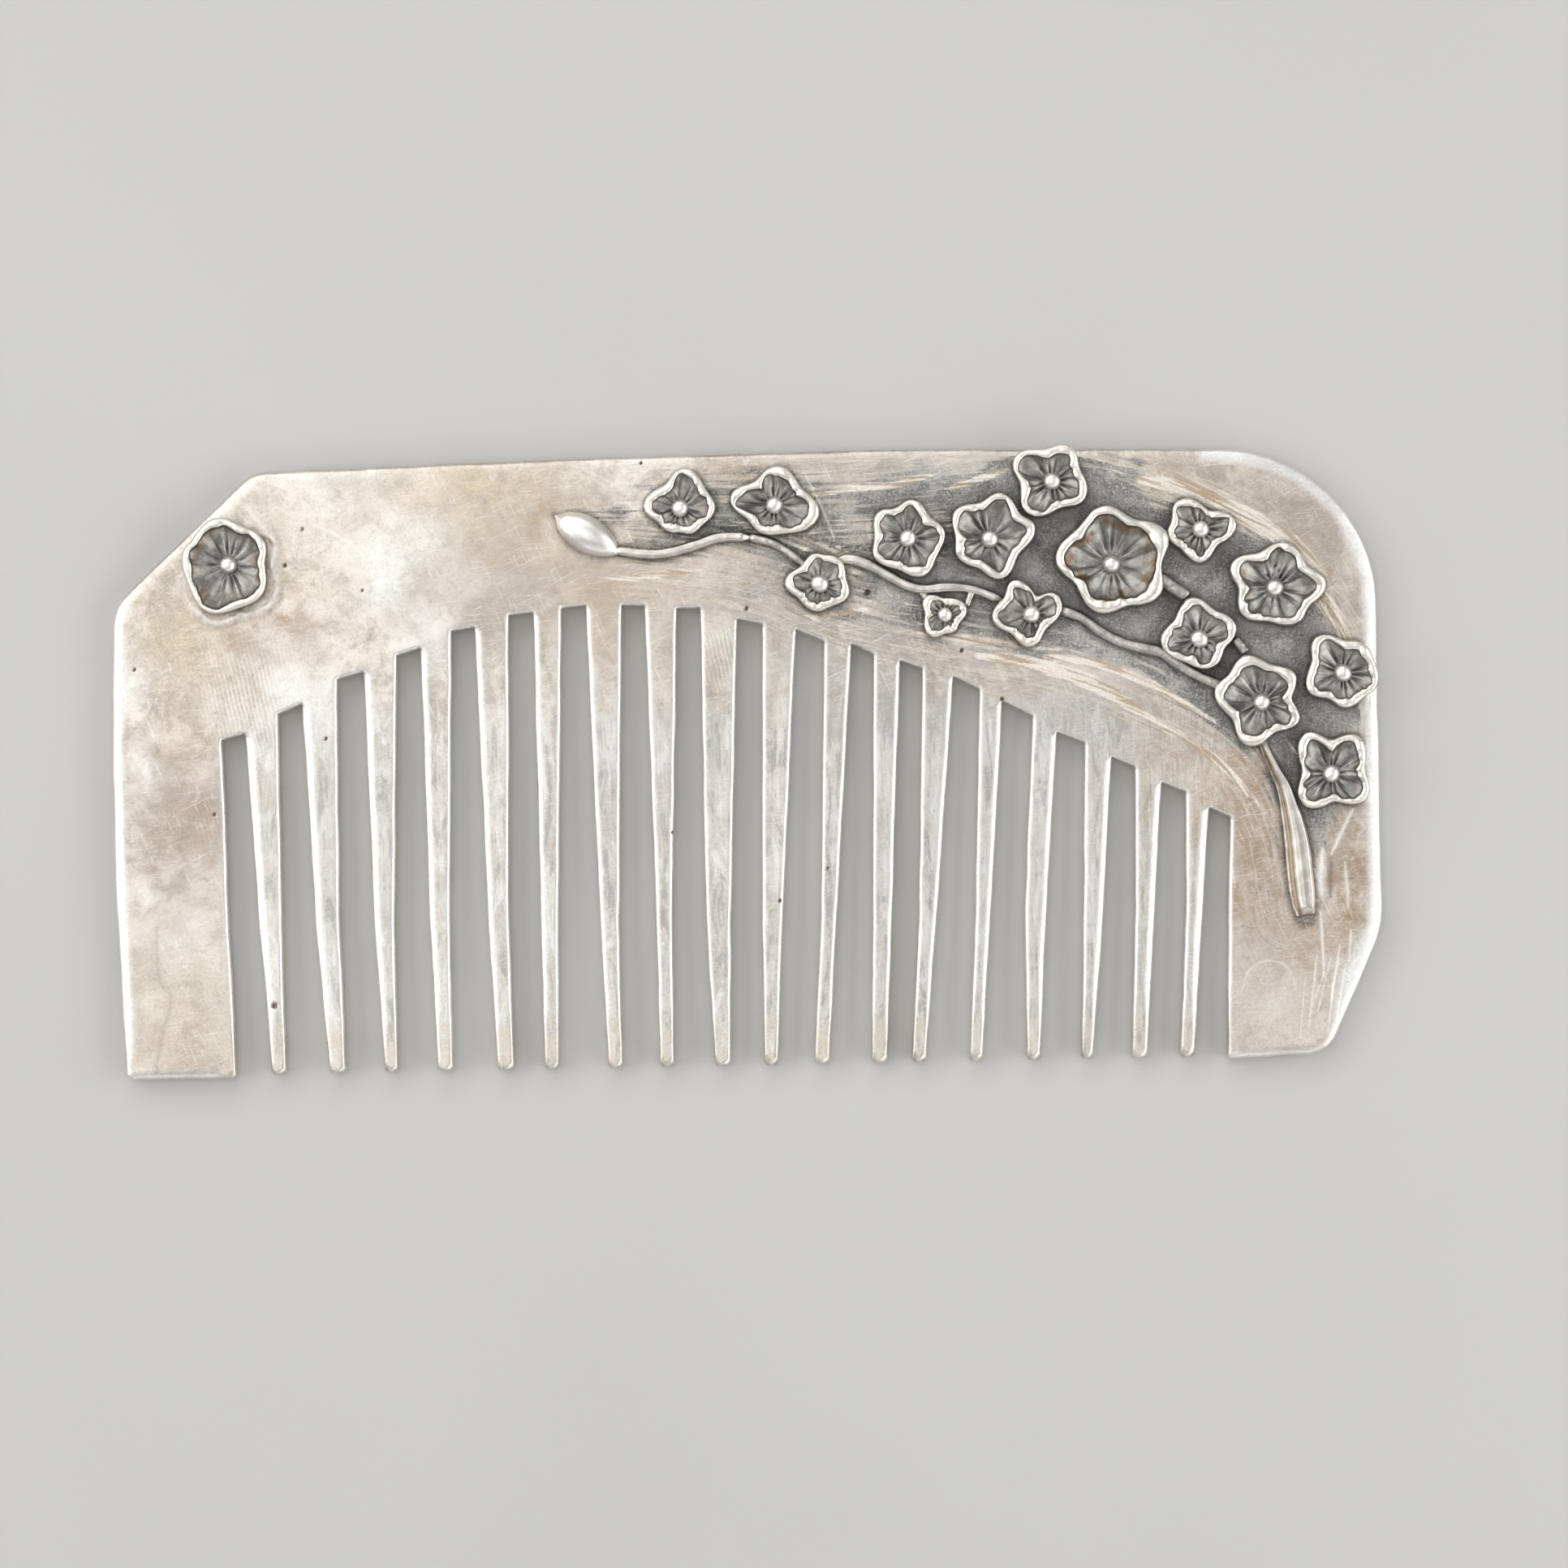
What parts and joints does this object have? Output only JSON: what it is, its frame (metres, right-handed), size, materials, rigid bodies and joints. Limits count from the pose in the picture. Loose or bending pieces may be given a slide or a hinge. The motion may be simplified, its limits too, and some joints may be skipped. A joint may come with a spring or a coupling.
{
  "type": "hair comb",
  "caption": "Flat silver hair comb with tapered teeth, two broad guards, an arched slot line and a soldered branch of small cupped blossoms.",
  "frame": {"origin": "middle of the outer box, on the back of the sheet", "axes": "+X runs along the comb's length, +Y from the tooth tips to the top edge, +Z out of the decorated face"},
  "size_m": [0.11, 0.0536, 0.004],
  "materials": {
    "plate_silver": "worn brushed silver with warm tarnish and dark oxidised ground round the branch",
    "blossom_silver": "oxidised silver with polished rims",
    "bead_silver": "polished silver",
    "branch_silver": "rubbed silver over dark oxide"
  },
  "bodies": {
    "root": {"spine": "plate_silver", "left_guard": "plate_silver", "right_guard": "plate_silver", "teeth": "plate_silver", "blossom_01": "blossom_silver", "blossom_02": "blossom_silver", "blossom_03": "blossom_silver", "blossom_04": "blossom_silver", "blossom_05": "blossom_silver", "blossom_06": "blossom_silver", "blossom_07": "blossom_silver", "blossom_08": "blossom_silver", "blossom_09": "blossom_silver", "blossom_10": "blossom_silver", "blossom_11": "blossom_silver", "blossom_12": "blossom_silver", "blossom_13": "blossom_silver", "blossom_14": "blossom_silver", "blossom_15": "blossom_silver", "blossom_16": "blossom_silver", "stamen_01": "bead_silver", "stamen_02": "bead_silver", "stamen_03": "bead_silver", "stamen_04": "bead_silver", "stamen_05": "bead_silver", "stamen_06": "bead_silver", "stamen_07": "bead_silver", "stamen_08": "bead_silver", "stamen_09": "bead_silver", "stamen_10": "bead_silver", "stamen_11": "bead_silver", "stamen_12": "bead_silver", "stamen_13": "bead_silver", "stamen_14": "bead_silver", "stamen_15": "bead_silver", "stamen_16": "bead_silver", "bud": "bead_silver", "branch_tip": "branch_silver", "twig_low": "branch_silver", "branch_middle": "branch_silver", "twig_left": "branch_silver", "twig_right": "branch_silver", "branch_right": "branch_silver", "branch_upper": "branch_silver", "branch_link": "branch_silver", "trunk": "branch_silver"}
  },
  "joints": []
}
